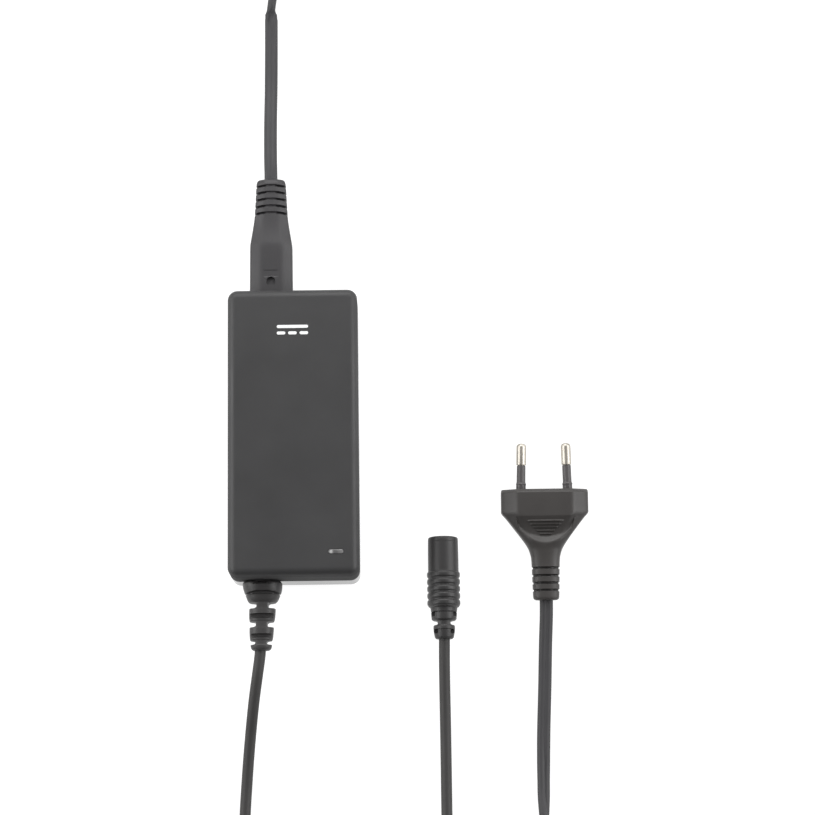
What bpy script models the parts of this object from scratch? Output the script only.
"""Laptop power adapter: housing with its electronics, a detachable two-core
mains lead with a moulded two-pin plug, and a captive low-voltage lead with an
in-line coaxial socket.

Metres, +Z up. The origin is the middle of the housing's underside, +Y points
to the mains inlet and +X to the side that the lead's plug lies on.
"""

import math

import bmesh
import bpy
from mathutils import Vector
from mathutils.geometry import interpolate_bezier

MM = 0.001
GAP = 0.3  # clearance between pieces that touch, mm

# ---------------------------------------------------------------- dimensions
# all in millimetres
HOUSING_W = 51.3
HOUSING_L = 114.4
HOUSING_H = 31.2
HOUSING_WALL = 2.2
CORNER_R = 4.6  # corner radius in plan
EDGE_R = 3.3  # fillet along the top and bottom edges
SEAM_Z = HOUSING_H / 2

LED_X, LED_Y = 16.6, -47.8
LED_W, LED_D = 6.0, 1.8

INLET_X = -8.9
INLET_W, INLET_H, INLET_DEPTH = 18.4, 11.0, 15.0
INLET_PIN_R = 1.2
INLET_PITCH = 8.6
NOSE_R = 3.1
NOSE_LENGTH = 8.0
MAINS_TRAVEL = 15.0

GLAND_X = -12.8
BOARD_Z = 5.0
BOARD_T = 1.6

MAINS_CORD_W, MAINS_CORD_T = 5.3, 3.3
DC_CORD_D = 4.4

MAINS_COIL_X, MAINS_COIL_Y, MAINS_COIL_R = 126.8, -182.3, 28.6  # 3 1/4 turns
DC_COIL_X, DC_COIL_Y, DC_COIL_R = 9.4, -181.8, 25.4  # 5 1/4 turns
COIL_BASE = 1.3

SOCKET_X, SOCKET_TOP_Y, SOCKET_Z = 58.5, -39.4, 6.55
PLUG_X, PLUG_FACE_Y, PLUG_Z = 99.2, -20.8, 7.65
PLUG_TILT = 4.5  # degrees, front up: it rests on its belly and its boot
PLUG_W, PLUG_T = 34.9, 13.7
PIN_R, PIN_LENGTH = 2.0, 18.6
PIN_PITCH_TIP, PIN_PITCH_BASE = 17.6, 18.6
SLEEVE_R = 1.75

# ------------------------------------------------------------------- helpers
for old in list(bpy.data.objects):
    bpy.data.objects.remove(old, do_unlink=True)

scene_objects = bpy.context.scene.collection.objects


def material(name, color, roughness=0.5, metallic=0.0):
    made = bpy.data.materials.new(name)
    made.use_nodes = True
    shader = made.node_tree.nodes["Principled BSDF"]
    shader.inputs["Base Color"].default_value = (*color, 1.0)
    shader.inputs["Roughness"].default_value = roughness
    shader.inputs["Metallic"].default_value = metallic
    made.diffuse_color = (*color, 1.0)
    return made


def empty(name, x=0.0, y=0.0, z=0.0, parent=None):
    made = bpy.data.objects.new(name, None)
    made.empty_display_size = 0.01
    scene_objects.link(made)
    made.parent = parent
    made.location = (x * MM, y * MM, z * MM)
    return made


def finish(name, bm, look, parent=None, at=(0, 0, 0), turn=(0, 0, 0), sharp=35):
    """Turn a bmesh in millimetres into an object placed under its parent."""
    bmesh.ops.recalc_face_normals(bm, faces=bm.faces)
    bmesh.ops.scale(bm, vec=(MM, MM, MM), verts=bm.verts)
    mesh = bpy.data.meshes.new(name)
    bm.to_mesh(mesh)
    bm.free()
    mesh.shade_smooth()
    mesh.set_sharp_from_angle(angle=math.radians(sharp))
    made = bpy.data.objects.new(name, mesh)
    scene_objects.link(made)
    if look is not None:
        mesh.materials.append(look)
    made.parent = parent
    made.location = [v * MM for v in at]
    made.rotation_euler = [math.radians(a) for a in turn]
    return made


def rounded(half_w, half_h, radius, steps=4):
    """Outline of a rounded rectangle, counter-clockwise, as (u, v) pairs."""
    radius = min(radius, half_w - 0.01, half_h - 0.01)
    pts = []
    for sx, sy, start in ((1, 1, 0), (-1, 1, 90), (-1, -1, 180), (1, -1, 270)):
        for i in range(steps + 1):
            a = math.radians(start + 90.0 * i / steps)
            pts.append(
                (
                    sx * (half_w - radius) + radius * math.cos(a),
                    sy * (half_h - radius) + radius * math.sin(a),
                )
            )
    return pts


def circle(radius, steps=20):
    return [
        (
            radius * math.cos(2 * math.pi * i / steps),
            radius * math.sin(2 * math.pi * i / steps),
        )
        for i in range(steps)
    ]


def eight(radius, pitch, steps=8):
    """Figure-of-eight outline of a two-pole connector nose."""
    pts = []
    for i in range(steps + 1):
        a = math.radians(-122 + 244 * i / steps)
        pts.append((pitch / 2 + radius * math.cos(a), radius * math.sin(a)))
    for i in range(steps + 1):
        a = math.radians(58 + 244 * i / steps)
        pts.append((-pitch / 2 + radius * math.cos(a), radius * math.sin(a)))
    return pts


def skin(rings, close_ring=False):
    """Bridge a run of rings of equal length; caps close both ends."""
    bm = bmesh.new()
    loops = [[bm.verts.new(p) for p in ring] for ring in rings]
    count = len(loops[0])
    pairs = list(zip(loops, loops[1:]))
    if close_ring:
        pairs.append((loops[-1], loops[0]))
    for a, b in pairs:
        for i in range(count):
            j = (i + 1) % count
            bm.faces.new((a[i], a[j], b[j], b[i]))
    if not close_ring:
        bm.faces.new(list(reversed(loops[0])))
        bm.faces.new(loops[-1])
    return bm


def along_z(stations):
    """Rings from (z, outline) pairs."""
    return [[(u, v, z) for u, v in outline] for z, outline in stations]


def along_y(stations):
    """Rings from (y, outline) pairs; the outline's (u, v) become (x, z)."""
    return [[(u, y, v) for u, v in outline] for y, outline in stations]


def block(name, look, size, at, parent=None, bevel=0.4, turn=(0, 0, 0)):
    """Box with softened edges, centred on at."""
    bm = bmesh.new()
    bmesh.ops.create_cube(bm, size=1.0)
    bmesh.ops.scale(bm, vec=size, verts=bm.verts)
    if bevel:
        bmesh.ops.bevel(
            bm,
            geom=list(bm.edges),
            offset=bevel,
            offset_type="OFFSET",
            segments=1,
            affect="EDGES",
            profile=0.5,
        )
    return finish(name, bm, look, parent, at, turn)


def turned(name, look, profile, at, parent=None, axis="Z", steps=20, closed=False):
    """Solid of revolution. profile is (radius, height) pairs from one end to
    the other; closed profiles make a ring, open ones are capped at the axis."""
    outlines = [(h, circle(max(r, 0.001), steps)) for r, h in profile]
    rings = along_z(outlines)
    bm = skin(rings, close_ring=closed)
    turn = {"Z": (0, 0, 0), "Y": (-90, 0, 0), "X": (0, 90, 0)}[axis]
    return finish(name, bm, look, parent, at, turn)


def prism(name, look, outline, z0, z1, at=(0, 0, 0), parent=None, turn=(0, 0, 0)):
    bm = skin(along_z([(z0, outline), (z1, outline)]))
    return finish(name, bm, look, parent, at, turn)


def cutter(made):
    made.hide_render = True
    made.display_type = "WIRE"
    return made


def boolean(target, tool, operation="DIFFERENCE"):
    mod = target.modifiers.new(operation.lower() + "_" + tool.name, "BOOLEAN")
    mod.operation = operation
    mod.solver = "EXACT"
    mod.object = tool
    return mod


def smooth_route(waypoints, spacing, lowest=0.0):
    """Points every `spacing` mm along a smooth curve through the waypoints,
    none of them under the lowest height at which the cord lies on the floor."""
    pts = [Vector(p) for p in waypoints]
    fine = []
    for i in range(len(pts) - 1):
        a, b = pts[i], pts[i + 1]
        before = pts[i - 1] if i else a - (b - a)
        after = pts[i + 2] if i + 2 < len(pts) else b + (b - a)
        reach = (b - a).length
        ta = (b - before).normalized() * reach / 3
        tb = (after - a).normalized() * reach / 3
        fine += interpolate_bezier(a, a + ta, b - tb, b, 24)[: -1 if i + 2 < len(pts) else None]
    lengths = [0.0]
    for a, b in zip(fine, fine[1:]):
        lengths.append(lengths[-1] + (b - a).length)
    total = lengths[-1]
    count = max(2, round(total / spacing))
    out, k = [], 0
    for n in range(count + 1):
        s = total * n / count
        while k < len(lengths) - 2 and lengths[k + 1] < s:
            k += 1
        span = lengths[k + 1] - lengths[k]
        t = 0 if span == 0 else (s - lengths[k]) / span
        at = fine[k].lerp(fine[k + 1], min(1.0, t))
        out.append(Vector((at.x, at.y, max(at.z, lowest))))
    return out


def arc(cx, cy, radius, start, end, z, count):
    """Points on a level arc, angles in degrees."""
    pts = []
    for i in range(count + 1):
        a = math.radians(start + (end - start) * i / count)
        pts.append((cx + radius * math.cos(a), cy + radius * math.sin(a), z))
    return pts


def tube(
    name, look, route, depth=None, section=None, parent=None, resolution=2, turn=None
):
    """Cord along a route in millimetres: round with bevel depth, or flat with
    a section curve, turned about the route by turn(point) degrees."""
    curve = bpy.data.curves.new(name, "CURVE")
    curve.dimensions = "3D"
    curve.twist_mode = "Z_UP"
    spline = curve.splines.new("POLY")
    spline.points.add(len(route) - 1)
    for point, p in zip(spline.points, route):
        point.co = (p[0] * MM, p[1] * MM, p[2] * MM, 1.0)
        if turn is not None:
            point.tilt = math.radians(turn(p))
    if section is None:
        curve.bevel_depth = depth * MM
        curve.bevel_resolution = resolution
    else:
        curve.bevel_mode = "OBJECT"
        curve.bevel_object = section
    curve.use_fill_caps = True
    curve.materials.append(look)
    made = bpy.data.objects.new(name, curve)
    scene_objects.link(made)
    made.parent = parent
    if parent is not None:
        made.location = [-v for v in parent.location]
    return made


# ----------------------------------------------------------------- materials
def plastic(name, value, roughness=0.5):
    return material(name, (value, value * 0.985, value * 0.99), roughness)


pvc_mains = plastic("mains_lead_pvc", 0.065, 0.5)
pvc_dc = plastic("dc_lead_pvc", 0.055, 0.5)
tie_black = material("cable_tie_nylon", (0.02, 0.02, 0.02), 0.6)
nickel = material("nickel_plated_brass", (0.78, 0.75, 0.70), 0.25, 1.0)

adapter = empty("adapter_frame")
mains_slide = empty("mains_slide_axis", INLET_X, HOUSING_L / 2, SEAM_Z)


def under_slide(x, y, z):
    """A place in the adapter's frame, as a location under the slide's empty."""
    return (x - INLET_X, y - HOUSING_L / 2, z - SEAM_Z)


# ------------------------------------------------------------------- housing
def shell(name, look, outer_rim, inner_rim, far, parent):
    """Half of the housing. outer_rim and inner_rim are the heights at which
    the outer and inner halves of its wall end at the seam; far is the height
    of its large face, above or below."""
    up = 1 if far > outer_rim else -1
    hw, hl = HOUSING_W / 2, HOUSING_L / 2
    stations = [(outer_rim, rounded(hw, hl, CORNER_R))]
    for i in range(5):
        a = math.radians(90.0 * i / 4)
        inset = EDGE_R * (1 - math.cos(a))
        z = far - up * EDGE_R * (1 - math.sin(a))
        stations.append(
            (z, rounded(hw - inset, hl - inset, max(CORNER_R - inset, 1.4)))
        )
    outer = along_z(stations)
    wall = HOUSING_WALL
    half = wall / 2
    inner = along_z(
        [
            (
                far - up * wall,
                rounded(hw - wall - 1.2, hl - wall - 1.2, CORNER_R - wall - 1.0),
            ),
            (
                far - up * (wall + 1.2),
                rounded(hw - wall, hl - wall, CORNER_R - wall),
            ),
        ]
    )
    lip = half - GAP / 2
    if up > 0:
        # the upper half's wall is the outer leaf of the joint
        rim = along_z(
            [
                (inner_rim, rounded(hw - wall, hl - wall, CORNER_R - wall)),
                (inner_rim, rounded(hw - lip, hl - lip, CORNER_R - lip)),
                (outer_rim, rounded(hw - lip, hl - lip, CORNER_R - lip)),
            ]
        )
    else:
        edge = wall - lip
        rim = along_z(
            [
                (inner_rim, rounded(hw - wall, hl - wall, CORNER_R - wall)),
                (inner_rim, rounded(hw - edge, hl - edge, CORNER_R - edge)),
                (outer_rim, rounded(hw - edge, hl - edge, CORNER_R - edge)),
            ]
        )
    rings = inner + rim + outer
    return finish(name, skin(rings), look, parent)


abs_top = plastic("top_cover_abs", 0.062, 0.48)
abs_bottom = plastic("bottom_cover_abs", 0.060, 0.5)

top_cover = shell(
    "top_cover", abs_top, SEAM_Z + GAP / 2, SEAM_Z + 1.65, HOUSING_H, adapter
)
bottom_cover = shell(
    "bottom_cover", abs_bottom, SEAM_Z - GAP / 2, SEAM_Z + 1.35, 0.0, adapter
)

inlet_hole = cutter(
    block(
        "inlet_hole",
        None,
        (INLET_W + 2 * GAP, 8.0, INLET_H + 2 * GAP),
        (INLET_X, HOUSING_L / 2, SEAM_Z),
        adapter,
        bevel=0,
    )
)
gland_hole = cutter(
    turned(
        "gland_hole",
        None,
        [(4.9, -4.0), (4.9, 4.0)],
        (GLAND_X, -HOUSING_L / 2, SEAM_Z),
        adapter,
        axis="Y",
        steps=20,
    )
)
led_hole = cutter(
    prism(
        "led_hole",
        None,
        rounded(LED_W / 2 + 0.15, LED_D / 2 + 0.15, LED_D / 2 + 0.14, 4),
        HOUSING_H - 4,
        HOUSING_H + 1,
        (LED_X, LED_Y, 0),
        adapter,
    )
)
label_recess = cutter(
    block(
        "label_recess",
        None,
        (38.6, 74.6, 1.0),
        (0, 0, 0.35 - 0.5),
        adapter,
        bevel=0,
    )
)
for half in (top_cover, bottom_cover):
    boolean(half, inlet_hole)
    boolean(half, gland_hole)
boolean(top_cover, led_hole)
boolean(bottom_cover, label_recess)
for i, (sx, sy) in enumerate(((1, 1), (-1, 1), (-1, -1), (1, -1))):
    post = cutter(
        turned(
            "board_post_%d" % (i + 1),
            None,
            [(1.9, HOUSING_WALL - 0.8), (1.6, BOARD_Z - GAP)],
            (sx * 18.6, sy * 46.0 - 1.0, 0),
            adapter,
            steps=10,
        )
    )
    boolean(bottom_cover, post, "UNION")

rating_label = block(
    "rating_label",
    material("rating_label_film", (0.55, 0.55, 0.53), 0.45),
    (38.0, 74.0, 0.2),
    (0, 0, 0.15),
    adapter,
    bevel=0,
)
led_light_pipe = prism(
    "led_light_pipe",
    material("light_pipe_acrylic", (0.62, 0.62, 0.6), 0.3),
    rounded(LED_W / 2 - 0.05, LED_D / 2 - 0.05, LED_D / 2 - 0.06, 4),
    13.2,
    HOUSING_H - 0.05,
    (LED_X, LED_Y, 0),
    adapter,
)

# ---------------------------------------------------------- board and inlet
circuit_board = block(
    "circuit_board",
    material("fr4_board", (0.05, 0.16, 0.07), 0.55),
    (43.5, 104.0, BOARD_T),
    (0, -1.0, BOARD_Z + BOARD_T / 2),
    adapter,
    bevel=0,
)
board_top = BOARD_Z + BOARD_T

ac_inlet_housing = block(
    "ac_inlet_housing",
    plastic("inlet_housing_pbt", 0.03, 0.4),
    (INLET_W, INLET_DEPTH, INLET_H),
    (INLET_X, HOUSING_L / 2 - 0.2 - INLET_DEPTH / 2, SEAM_Z),
    adapter,
    bevel=0.8,
)
inlet_recess = cutter(
    prism(
        "inlet_recess",
        None,
        eight(NOSE_R + GAP, INLET_PITCH),
        -3.0,
        8.6,
        (INLET_X, HOUSING_L / 2, SEAM_Z),
        adapter,
        turn=(90, 0, 0),
    )
)
boolean(ac_inlet_housing, inlet_recess)
inlet_pin_look = material("inlet_pin_plated_brass", (0.75, 0.73, 0.68), 0.28, 1.0)
for side, word in ((-1, "left"), (1, "right")):
    hole = cutter(
        turned(
            "inlet_pin_hole_" + word,
            None,
            [(INLET_PIN_R + GAP, 0), (INLET_PIN_R + GAP, 12)],
            (INLET_X + side * INLET_PITCH / 2, HOUSING_L / 2 - 18.0, SEAM_Z),
            adapter,
            axis="Y",
            steps=12,
        )
    )
    boolean(ac_inlet_housing, hole)
    turned(
        "ac_inlet_pin_" + word,
        inlet_pin_look,
        [
            (INLET_PIN_R, 0),
            (INLET_PIN_R, 15.6),
            (INLET_PIN_R * 0.85, 16.3),
            (INLET_PIN_R * 0.4, 16.6),
        ],
        (INLET_X + side * INLET_PITCH / 2, HOUSING_L / 2 - 17.8, SEAM_Z),
        adapter,
        axis="Y",
        steps=12,
    )

# ---------------------------------------------------------- the electronics
on_board = board_top + GAP


def can(name, look, radius, height, x, y, z=None, axis="Z", steps=18):
    """Electrolytic can with a rolled rim at its foot."""
    z = on_board if z is None else z
    return turned(
        name,
        look,
        [
            (radius - 0.4, 0),
            (radius, 0.4),
            (radius, 1.6),
            (radius - 0.4, 2.1),
            (radius, 2.6),
            (radius, height - 0.5),
            (radius - 0.5, height),
        ],
        (x, y, z),
        adapter,
        axis,
        steps,
    )


def choke(name, core_look, wire_look, radius, height, x, y):
    """Drum core with its winding round the waist."""
    turned(
        name + "_core",
        core_look,
        [
            (radius, 0),
            (radius, 1.6),
            (radius * 0.5, 1.6),
            (radius * 0.5, height - 1.6),
            (radius, height - 1.6),
            (radius, height),
        ],
        (x, y, on_board),
        adapter,
        steps=16,
    )
    turned(
        name + "_winding",
        wire_look,
        [
            (radius * 0.5 + GAP, 1.6 + GAP),
            (radius - 0.5, 1.6 + GAP),
            (radius - 0.5, height - 1.6 - GAP),
            (radius * 0.5 + GAP, height - 1.6 - GAP),
        ],
        (x, y, on_board),
        adapter,
        steps=16,
        closed=True,
    )


def to220(name, look, x, y, facing):
    """Power transistor outline: a body and its tab, standing on the board."""
    body = block(
        name, look, (4.4, 10.0, 9.0), (x, y, on_board + 8.5), adapter, bevel=0.3
    )
    tab = cutter(
        block(
            name + "_tab",
            None,
            (1.3, 10.0, 15.4),
            (x + facing * 1.55, y, on_board + 8.5 + 3.2),
            adapter,
            bevel=0,
        )
    )
    boolean(body, tab, "UNION")
    return body


ferrite = material("ferrite_core", (0.035, 0.035, 0.04), 0.6)
copper = material("enamelled_copper", (0.55, 0.22, 0.08), 0.35, 0.6)
epoxy = material("epoxy_black", (0.02, 0.02, 0.022), 0.4)
aluminium = material("heatsink_aluminium", (0.62, 0.62, 0.63), 0.4, 1.0)
steel = material("zinc_plated_screw", (0.55, 0.55, 0.56), 0.35, 1.0)

block(
    "fuse",
    material("fuse_body_brown", (0.12, 0.05, 0.03), 0.45),
    (8.4, 4.0, 7.6),
    (9.5, 47.0, on_board + 3.8),
    adapter,
)
block(
    "x_capacitor",
    material("x_capacitor_yellow", (0.62, 0.42, 0.05), 0.4),
    (8.5, 18.0, 14.5),
    (17.0, 33.0, on_board + 7.25),
    adapter,
    bevel=0.7,
)
choke("line_choke", ferrite, copper, 7.6, 15.0, 3.0, 33.0)
block(
    "bridge_rectifier",
    epoxy,
    (3.6, 15.0, 11.5),
    (-19.0, 33.0, on_board + 5.75),
    adapter,
    bevel=0.5,
)
can(
    "bulk_capacitor",
    material("capacitor_sleeve_black", (0.015, 0.016, 0.03), 0.35),
    8.0,
    30.0,
    -10.5,
    5.5,
    on_board + 8.3,
    axis="Y",
    steps=20,
).location.y = (-6.0) * MM

primary_heatsink = block(
    "primary_heatsink",
    aluminium,
    (1.6, 33.0, 17.5),
    (2.1, 6.5, on_board + 8.75),
    adapter,
    bevel=0.2,
)
switching_transistor = to220("switching_transistor", epoxy, 5.4, 11.0, -1)
block(
    "control_chip",
    epoxy,
    (3.9, 8.6, 1.5),
    (15.5, 16.0, on_board + 0.75),
    adapter,
    bevel=0.2,
)
block(
    "y_capacitor",
    material("y_capacitor_blue", (0.03, 0.12, 0.4), 0.4),
    (3.4, 8.4, 8.4),
    (16.5, 4.5, on_board + 4.2),
    adapter,
    bevel=1.0,
)
block(
    "optocoupler",
    plastic("optocoupler_white", 0.6, 0.5),
    (6.4, 4.6, 3.4),
    (15.5, -3.6, on_board + 1.7),
    adapter,
    bevel=0.25,
)

# transformer: an EE core with two windows, the winding round its centre leg
core_at = (0.0, -26.0, on_board + 9.0)
transformer_core = block(
    "transformer_core", ferrite, (25.0, 22.0, 9.0), core_at, adapter, bevel=0.4
)
for side in (-1, 1):
    window = cutter(
        block(
            "core_window_left" if side < 0 else "core_window_right",
            None,
            (5.4, 15.0, 30.0),
            (side * 6.5, core_at[1], core_at[2]),
            adapter,
            bevel=0,
        )
    )
    boolean(transformer_core, window)
winding_in = rounded(3.8 + GAP, 4.5 + GAP, 0.6, 3)
winding_out = rounded(8.7, 8.6, 2.0, 3)
finish(
    "transformer_winding",
    skin(
        along_y(
            [
                (-7.0, winding_in),
                (-7.0, winding_out),
                (7.0, winding_out),
                (7.0, winding_in),
            ]
        ),
        close_ring=True,
    ),
    material("transformer_tape_yellow", (0.62, 0.47, 0.08), 0.5),
    adapter,
    core_at,
)

barrier = block(
    "insulating_barrier",
    material("barrier_film", (0.78, 0.78, 0.74), 0.5),
    (43.0, 0.5, 19.0),
    (0.0, -11.5, on_board + 9.5),
    adapter,
    bevel=0,
)

secondary_heatsink = block(
    "secondary_heatsink",
    aluminium,
    (1.6, 30.0, 17.5),
    (18.9, -28.0, on_board + 8.75),
    adapter,
    bevel=0.2,
)
output_rectifier = to220("output_rectifier", epoxy, 15.6, -21.5, 1)
can(
    "output_capacitor_1",
    material("output_capacitor_green", (0.02, 0.13, 0.08), 0.35),
    4.4,
    16.5,
    -17.6,
    -26.0,
    steps=16,
)
can(
    "output_capacitor_2",
    material("output_capacitor_sleeve", (0.02, 0.12, 0.09), 0.35),
    4.4,
    16.5,
    -17.6,
    -36.0,
    steps=16,
)
choke("output_choke", ferrite, copper, 5.6, 11.0, 3.5, -45.5)

for word, x, y, way in (
    ("primary", 5.4 - 1.55, 11.0, 1),
    ("secondary", 15.6 + 1.55, -21.5, -1),
):
    part = {"primary": switching_transistor, "secondary": output_rectifier}[word]
    plate = {"primary": primary_heatsink, "secondary": secondary_heatsink}[word]
    z = on_board + 16.2
    hole = cutter(
        turned(
            word + "_screw_hole",
            None,
            [(1.5 + GAP, -4.5), (1.5 + GAP, 4.5)],
            (x, y, z),
            adapter,
            axis="X",
            steps=12,
        )
    )
    boolean(part, hole)
    boolean(plate, hole)
    # the head bears on the tab, the shank runs through tab and plate
    screw = turned(
        word + "_heatsink_screw",
        steel,
        [
            (1.2, 0.0),
            (1.5, 0.4),
            (1.5, 5.0),
            (2.8, 5.0),
            (2.8, 6.4),
            (2.3, 7.0),
        ],
        (x - way * 4.05, y, z),
        adapter,
        axis="X",
        steps=12,
    )
    if way < 0:
        screw.rotation_euler = (0, math.radians(-90), 0)

turned(
    "indicator_led",
    material("led_epoxy_green", (0.3, 0.7, 0.35), 0.3),
    [
        (1.9, 0),
        (1.9, 0.9),
        (1.5, 0.9),
        (1.5, 3.6),
        (1.3, 4.6),
        (0.8, 5.3),
        (0.2, 5.6),
    ],
    (LED_X, LED_Y, on_board),
    adapter,
    steps=14,
)

# spreader: an inverted channel of thin sheet under the top cover
spread_w, spread_drop, sheet = 45.4, 9.0, 0.5
half_s, bend = spread_w / 2, 1.0
channel_path = [
    # outer (x, z), inner (x, z)
    ((-half_s, -spread_drop), (-half_s + sheet, -spread_drop)),
    ((-half_s, -bend), (-half_s + sheet, -bend)),
    ((-half_s + bend, 0.0), (-half_s + bend, -sheet)),
    ((half_s - bend, 0.0), (half_s - bend, -sheet)),
    ((half_s, -bend), (half_s - sheet, -bend)),
    ((half_s, -spread_drop), (half_s - sheet, -spread_drop)),
]
finish(
    "heat_spreader",
    skin(
        [
            [
                (outer[0], -42.0, outer[1]),
                (outer[0], 40.0, outer[1]),
                (inner[0], 39.8, inner[1]),  # deburred ends
                (inner[0], -41.8, inner[1]),
            ]
            for outer, inner in channel_path
        ]
    ),
    material("spreader_copper", (0.62, 0.3, 0.16), 0.35, 1.0),
    adapter,
    (0, 0, HOUSING_H - HOUSING_WALL - 1.4),
)

# ------------------------------------------- strain relief on the dc output
END = HOUSING_L / 2


def relief_profile():
    """(radius, distance from the end face) of the dc strain relief."""
    return [
        (6.2, -5.6),
        (6.6, -5.0),
        (6.6, -2.7),
        (4.5, -2.7),
        (4.5, 0.35),
        (7.3, 0.35),
        (7.48, 0.8),
        (7.1, 3.0),
        (6.3, 5.4),
        (5.45, 7.4),
        (5.3, 8.2),
        (2.8, 8.2),
        (2.8, 9.9),
        (5.15, 9.9),
        (4.85, 15.0),
        (2.5, 15.0),
        (2.5, 17.4),
        (4.68, 17.4),
        (4.42, 22.6),
        (2.45, 22.6),
        (2.45, 24.0),
        (4.15, 24.0),
        (3.75, 26.2),
        (3.2, 27.0),
    ]


turned(
    "dc_strain_relief",
    plastic("strain_relief_pvc", 0.05, 0.5),
    relief_profile(),
    (GLAND_X, -END, SEAM_Z),
    adapter,
    axis="Y",
    steps=20,
).rotation_euler = (math.radians(90), 0, 0)

# ------------------------------------------------------- in-line dc socket
dc_socket = empty("dc_socket_frame", SOCKET_X, SOCKET_TOP_Y, SOCKET_Z, adapter)


def socket_outline():
    """(radius, distance from the mouth) of the socket's moulding, outside."""
    pts = [(5.65, 0.0), (5.98, 0.5), (6.02, 12.6)]
    pitch = 2.66
    for i in range(5):
        y = 13.1 + i * pitch
        pts += [(6.12, y), (6.5, y + 0.75), (6.48, y + 1.9)]
    y = 13.1 + 5 * pitch
    pts += [
        (6.12, y),
        (6.0, y + 0.5),
        (5.3, y + 1.0),
        (4.85, y + 5.9),
        (2.6, y + 5.9),
        (2.6, y + 7.9),
        (4.25, y + 7.9),
        (3.78, y + 12.6),
        (3.3, y + 14.0),
    ]
    return pts


socket_inside = [(4.3, 12.6), (4.3, 0.0)]
dc_socket_body = turned(
    "dc_socket_body",
    plastic("dc_socket_pvc", 0.055, 0.5),
    [(0.2, 12.6)] + socket_inside + socket_outline(),
    (0, 0, 0),
    dc_socket,
    axis="Y",
    steps=20,
)
dc_socket_body.rotation_euler = (math.radians(90), 0, 0)
turned(
    "dc_socket_insulator",
    plastic("dc_socket_insulator_pbt", 0.03, 0.4),
    [
        (1.55, 12.3),
        (1.55, 10.3),
        (3.4, 10.3),
        (3.4, 0.4),
        (3.6, 0.15),
        (4.0, 0.15),
        (4.0, 12.3),
    ],
    (0, 0, 0),
    dc_socket,
    axis="Y",
    steps=20,
    closed=True,
).rotation_euler = (math.radians(90), 0, 0)
turned(
    "dc_socket_contact",
    nickel,
    [(2.8, 1.2), (3.1, 1.2), (3.1, 10.0), (2.8, 10.0)],
    (0, 0, 0),
    dc_socket,
    axis="Y",
    steps=16,
    closed=True,
).rotation_euler = (math.radians(90), 0, 0)
turned(
    "dc_socket_pin",
    nickel,
    [(0.5, 1.0), (1.0, 1.3), (1.25, 1.9), (1.25, 12.2)],
    (0, 0, 0),
    dc_socket,
    axis="Y",
    steps=12,
).rotation_euler = (math.radians(90), 0, 0)

# ------------------------------------------------------ mains connector, C7
connector_at = under_slide(INLET_X, HOUSING_L / 2 + GAP, SEAM_Z)


def connector_stations():
    """(distance from the inlet, half width, half height, corner radius)."""
    pts = [
        (0.0, 8.3, 4.9, 2.8),
        (0.5, 8.6, 5.2, 3.0),
        (8.0, 8.55, 5.3, 3.0),
        (19.5, 8.48, 5.3, 3.0),
        (22.4, 8.3, 5.1, 3.0),
        (27.0, 7.5, 4.6, 2.8),
        (31.0, 6.85, 4.3, 2.8),
        (34.4, 6.62, 4.2, 2.8),
    ]
    y = 34.4
    for i in range(5):
        half = 6.6 - 0.21 * i
        pts += [
            (y + 0.5, half - 0.9, 3.1, 2.0),
            (y + 1.2, half - 0.9, 3.1, 2.0),
            (y + 1.6, half - 0.04, 4.1 - 0.12 * i, 2.8),
            (y + 2.7, half - 0.16, 4.05 - 0.12 * i, 2.8),
        ]
        y += 2.8
    pts += [(y + 0.1, 5.45, 3.4, 2.6), (y + 0.4, 5.1, 3.0, 2.4)]
    return pts


pvc_connector = plastic("mains_connector_pvc", 0.062, 0.48)
mains_connector_body = finish(
    "mains_connector_body",
    skin(
        along_y(
            [(y, rounded(w, h, r, 3)) for y, w, h, r in connector_stations()]
        )
    ),
    pvc_connector,
    mains_slide,
    connector_at,
)
insert_pocket = cutter(
    prism(
        "insert_pocket",
        None,
        eight(NOSE_R + GAP, INLET_PITCH),
        -9.3,
        3.0,
        connector_at,
        mains_slide,
        turn=(90, 0, 0),
    )
)
boolean(mains_connector_body, insert_pocket)
grip_slot = cutter(
    block(
        "grip_slot",
        None,
        (3.4, 2.6, 3.0),
        (connector_at[0], connector_at[1] + 5.4, connector_at[2] + 5.6),
        mains_slide,
        bevel=0,
    )
)
boolean(mains_connector_body, grip_slot)
mains_connector_insert = prism(
    "mains_connector_insert",
    plastic("mains_connector_insert_pp", 0.035, 0.45),
    eight(NOSE_R, INLET_PITCH),
    -9.0,
    NOSE_LENGTH,
    connector_at,
    mains_slide,
    turn=(90, 0, 0),
)
for side, word in ((-1, "left"), (1, "right")):
    x = connector_at[0] + side * INLET_PITCH / 2
    bore = cutter(
        turned(
            "contact_bore_" + word,
            None,
            [(2.3, -NOSE_LENGTH - 1.0), (2.3, 6.3)],
            (x, connector_at[1], connector_at[2]),
            mains_slide,
            axis="Y",
            steps=12,
        )
    )
    boolean(mains_connector_insert, bore)
    turned(
        "mains_connector_contact_" + word,
        nickel,
        [(1.5, -7.6), (2.0, -7.6), (2.0, 6.0), (1.5, 6.0)],
        (x, connector_at[1], connector_at[2]),
        mains_slide,
        axis="Y",
        steps=12,
        closed=True,
    )

# ------------------------------------------------------------- mains plug
plug_frame = empty(
    "mains_plug_frame", *under_slide(PLUG_X, PLUG_FACE_Y, PLUG_Z), mains_slide
)
plug_frame.rotation_euler = (math.radians(PLUG_TILT), 0, 0)


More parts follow.
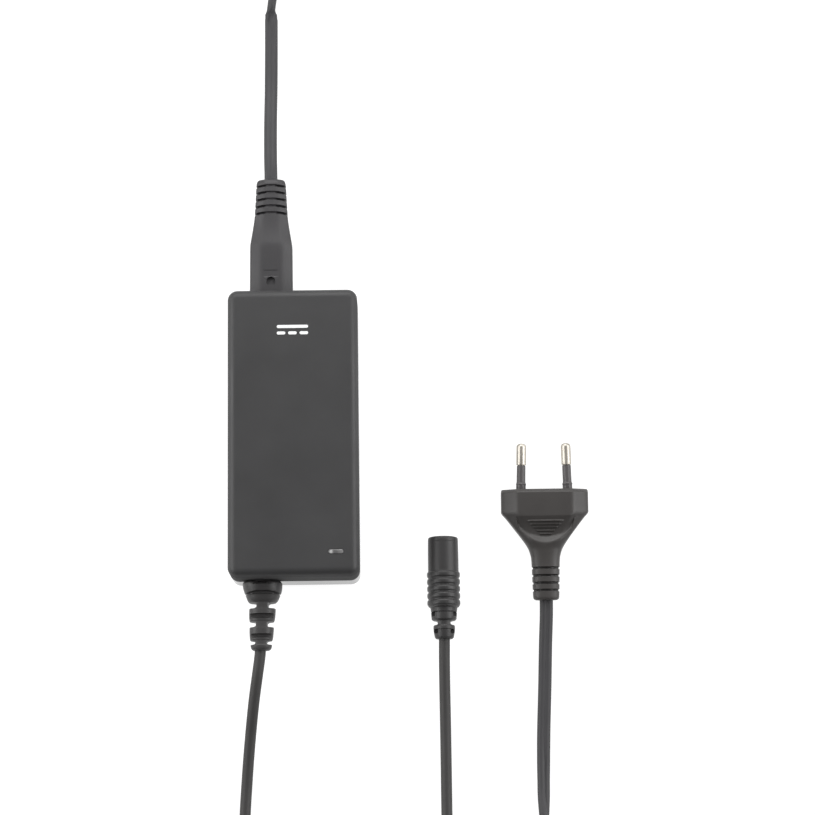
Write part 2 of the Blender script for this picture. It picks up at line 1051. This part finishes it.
def plug_stations():
    """(distance behind the front face, half width, half height, corner)."""
    w, t = PLUG_W / 2, PLUG_T / 2
    pts = [
        (0.0, w - 0.9, t - 0.9, 4.4),
        (0.35, w - 0.28, t - 0.28, 4.9),
        (0.9, w - 0.1, t, 5.0),
        (9.0, w - 0.1, t, 5.0),
        (9.8, w - 0.7, t, 5.0),
    ]
    # the flanks run straight towards the neck, then sweep into it
    taper = [
        (11.7, 15.1, 6.8),
        (15.6, 12.2, 6.4),
        (19.7, 9.2, 5.75),
        (23.2, 7.2, 5.1),
        (26.6, 6.1, 4.6),
        (29.7, 5.75, 4.3),
    ]
    pts += [(y, half, high, min(high - 0.05, 4.6)) for y, half, high in taper]
    y = 30.6
    for i in range(4):
        half = 5.62 - 0.07 * i
        pts += [
            (y, half, 4.2, 3.6),
            (y + 0.1, half - 1.1, 3.0, 2.6),
            (y + 0.85, half - 1.1, 3.0, 2.6),
            (y + 0.95, half - 0.02, 4.15, 3.6),
        ]
        y += 2.95
    pts += [(43.4, 5.27, 3.95, 3.4), (44.0, 4.9, 3.6, 3.2)]
    return pts


mains_plug_body = finish(
    "mains_plug_body",
    skin(
        along_y([(-y, rounded(w, h, r, 3)) for y, w, h, r in plug_stations()])
    ),
    plastic("mains_plug_pvc", 0.058, 0.45),
    plug_frame,
)
lean = math.degrees(math.asin((PIN_PITCH_BASE - PIN_PITCH_TIP) / 2 / PIN_LENGTH))
for side, word in ((-1, "left"), (1, "right")):
    x = side * PIN_PITCH_BASE / 2
    tilt = (-90, 0, side * lean)
    hole = cutter(
        turned(
            "plug_pin_hole_" + word,
            None,
            [(2.0 + GAP, -9.3), (2.0 + GAP, 2.0)],
            (x, 0, 0),
            plug_frame,
            steps=12,
        )
    )
    hole.rotation_euler = [math.radians(a) for a in tilt]
    boolean(mains_plug_body, hole)
    pin = turned(
        "mains_plug_pin_" + word,
        nickel,
        [
            (1.6, -9.0),
            (1.6, -5.0),
            (1.05, -5.0),
            (1.05, PIN_LENGTH - 8.0),
            (PIN_R, PIN_LENGTH - 8.0),
            (PIN_R, PIN_LENGTH - 1.3),
            (PIN_R * 0.85, PIN_LENGTH - 0.5),
            (PIN_R * 0.5, PIN_LENGTH - 0.1),
            (PIN_R * 0.1, PIN_LENGTH),
        ],
        (x, 0, 0),
        plug_frame,
        steps=14,
    )
    pin.rotation_euler = [math.radians(a) for a in tilt]
    sleeve = turned(
        "mains_plug_sleeve_" + word,
        plastic("pin_sleeve_nylon_" + word, 0.12, 0.4),
        [
            (1.05 + GAP, -4.6),
            (2.0, -4.6),
            (2.0, 2.6),
            (SLEEVE_R, 2.8),
            (SLEEVE_R, PIN_LENGTH - 8.0 - GAP),
            (1.05 + GAP, PIN_LENGTH - 8.0 - GAP),
        ],
        (x, 0, 0),
        plug_frame,
        steps=14,
        closed=True,
    )
    sleeve.rotation_euler = [math.radians(a) for a in tilt]

# ------------------------------------------------------------------- cords
flat_data = bpy.data.curves.new("flat_cord_section", "CURVE")
flat_data.dimensions = "2D"
outline = rounded(MAINS_CORD_W / 2, MAINS_CORD_T / 2, MAINS_CORD_T / 2 - 0.02, 2)
flat_spline = flat_data.splines.new("POLY")
flat_spline.points.add(len(outline) - 1)
for point, (u, v) in zip(flat_spline.points, reversed(outline)):
    point.co = (u * MM, v * MM, 0, 1)
flat_spline.use_cyclic_u = True
flat_section = bpy.data.objects.new("flat_cord_section", flat_data)
scene_objects.link(flat_section)
cutter(flat_section)


def coil_bundle(name, look, cx, cy, radius, half_w, height, parent, at):
    """Outer solid of a tied coil: a turned ring with a softened section."""
    soft = 1.6
    section = [
        (radius - half_w, soft),
        (radius - half_w + soft, 0),
        (radius + half_w - soft, 0),
        (radius + half_w, soft),
        (radius + half_w, height - soft),
        (radius + half_w - soft, height),
        (radius - half_w + soft, height),
        (radius - half_w, height - soft),
    ]
    return turned(name, look, section, at, parent, steps=28, closed=True)


def tie(name, cx, cy, radius, half_w, height, angle, parent, offset):
    """Strap round the bundle at one place on the ring."""
    a = math.radians(angle)
    inside = rounded(half_w + GAP, height / 2 + GAP, 0.6, 2)
    outside = rounded(half_w + 1.1, height / 2 + 1.1, 1.2, 2)
    bm = skin(
        along_y([(-2.5, inside), (-2.5, outside), (2.5, outside), (2.5, inside)]),
        close_ring=True,
    )
    at = (
        cx + radius * math.cos(a) - offset[0],
        cy + radius * math.sin(a) - offset[1],
        COIL_BASE + height / 2 - offset[2],
    )
    return finish(name, bm, tie_black, parent, at, (0, 0, angle))


# mains lead: out over the back, round the right side and into its coil
MAINS_HALF_W, MAINS_H = 3.6, 10.8
cord_z = MAINS_CORD_T / 2 + 0.08
edge_z = MAINS_CORD_W / 2 + 0.08  # standing on edge, as round its bends
top_y, right_x, turn_r = 184.5, 197.0, 22.0
low_y = MAINS_COIL_Y - MAINS_COIL_R
start_y = HOUSING_L / 2 + GAP + 48.8 + GAP
way_out = [
    (INLET_X - 0.1, start_y, SEAM_Z),
    (INLET_X - 0.3, start_y + 9, SEAM_Z - 1.0),
    (INLET_X - 0.5, start_y + 24, 10.4),
    (INLET_X - 0.5, start_y + 42, 4.6),
    (INLET_X - 0.5, start_y + 60, 2.0),
    (INLET_X - 0.5, top_y - 4, cord_z),
]
way_out += arc(INLET_X - 0.5 + turn_r, top_y, turn_r, 180, 90, edge_z, 4)
way_out += [(60.0, top_y + turn_r, edge_z), (130.0, top_y + turn_r, edge_z)]
way_out += arc(right_x, top_y, turn_r, 90, 0, edge_z, 4)
way_out += [
    (218.8, 120.0, edge_z),
    (218.2, 40.0, edge_z),
    (216.4, -40.0, edge_z),
    (212.2, -110.0, edge_z),
    (208.4, -142.0, edge_z),
]
way_out += arc(166.0, low_y + 38.2, 40.0, -8, -90, edge_z, 4)
way_out += [(MAINS_COIL_X + 19.4, low_y - 1.8, edge_z)]
mains_way_out = smooth_route(way_out, 13.0, cord_z)
tube(
    "mains_cord_run_out",
    pvc_mains,
    mains_way_out,
    section=flat_section,
    parent=mains_slide,
    turn=lambda p: 90 if p[0] > 20 else min(90, max(0, (p[1] - 178) * 4)),
)

left_x = MAINS_COIL_X - MAINS_COIL_R - 1.8
plug_tilt = math.radians(PLUG_TILT)
boot_end = PLUG_FACE_Y - (44.0 + GAP) * math.cos(plug_tilt)
boot_z = PLUG_Z - (44.0 + GAP) * math.sin(plug_tilt)
way_back = [
    (left_x, MAINS_COIL_Y + 17.6, 8.4),
    (left_x, MAINS_COIL_Y + 28.0, 6.0),
    (left_x + 0.2, -138.0, 2.4),
    (left_x + 0.7, -118.0, cord_z),
    (left_x + 1.6, -98.0, cord_z),
    (PLUG_X - 0.6, -82.0, 2.2),
    (PLUG_X - 0.1, boot_end - 6.0, boot_z - 0.6),
    (PLUG_X, boot_end, boot_z),
]
tube(
    "mains_cord_run_back",
    pvc_mains,
    smooth_route(way_back, 12.0, cord_z),
    section=flat_section,
    parent=mains_slide,
    turn=lambda p: min(90, max(0, (-128 - p[1]) * 3)),
)
here = (INLET_X, HOUSING_L / 2, SEAM_Z)
coil_bundle(
    "mains_cord_coil",
    pvc_mains,
    MAINS_COIL_X,
    MAINS_COIL_Y,
    MAINS_COIL_R,
    MAINS_HALF_W,
    MAINS_H,
    mains_slide,
    under_slide(MAINS_COIL_X, MAINS_COIL_Y, COIL_BASE),
)
tie(
    "mains_cord_tie",
    MAINS_COIL_X,
    MAINS_COIL_Y,
    MAINS_COIL_R,
    MAINS_HALF_W,
    MAINS_H,
    40,
    mains_slide,
    here,
)

# dc lead: out of the strain relief into its coil, and up to the socket
DC_HALF_W, DC_H = 6.8, 9.0
dc_z = DC_CORD_D / 2 + 0.08
dc_left = DC_COIL_X - DC_COIL_R - 4.5
dc_way_out = [
    (GLAND_X - 0.2, -END - 27.0 - 2 * GAP, SEAM_Z),
    (GLAND_X - 0.4, -END - 30.0, SEAM_Z - 0.05),
    (GLAND_X - 1.4, -END - 36.0, SEAM_Z - 1.0),
    (GLAND_X - 3.7, -END - 47.0, 11.2),
    (GLAND_X - 5.6, -END - 63.0, 6.2),
    (GLAND_X - 7.0, -END - 79.0, 3.0),
    (dc_left - 0.1, -END - 93.0, dc_z),
    (dc_left, DC_COIL_Y + 17.8, dc_z),
]
tube(
    "dc_cord_run_out",
    pvc_dc,
    smooth_route(dc_way_out, 10.0, dc_z),
    depth=DC_CORD_D / 2,
    parent=adapter,
)
dc_low = DC_COIL_Y - DC_COIL_R - 4.5
dc_way_back = [(DC_COIL_X + 17.8, dc_low, 6.6), (SOCKET_X - 19.0, dc_low, 3.2)]
dc_way_back += arc(SOCKET_X - 18.5, dc_low + 18.5, 18.5, -78, 0, dc_z, 4)
dc_way_back += [
    (SOCKET_X, -150.0, dc_z),
    (SOCKET_X, -118.0, dc_z + 0.3),
    (SOCKET_X - 0.1, -98.0, 4.4),
    (SOCKET_X - 0.1, -88.0, SOCKET_Z - 0.7),
    (SOCKET_X, SOCKET_TOP_Y - 40.4 - GAP, SOCKET_Z),
]
tube(
    "dc_cord_run_back",
    pvc_dc,
    smooth_route(dc_way_back, 10.0, dc_z),
    depth=DC_CORD_D / 2,
    parent=adapter,
)
coil_bundle(
    "dc_cord_coil",
    pvc_dc,
    DC_COIL_X,
    DC_COIL_Y,
    DC_COIL_R,
    DC_HALF_W,
    DC_H,
    adapter,
    (DC_COIL_X, DC_COIL_Y, COIL_BASE),
)
tie(
    "dc_cord_tie",
    DC_COIL_X,
    DC_COIL_Y,
    DC_COIL_R,
    DC_HALF_W,
    DC_H,
    40,
    adapter,
    (0, 0, 0),
)
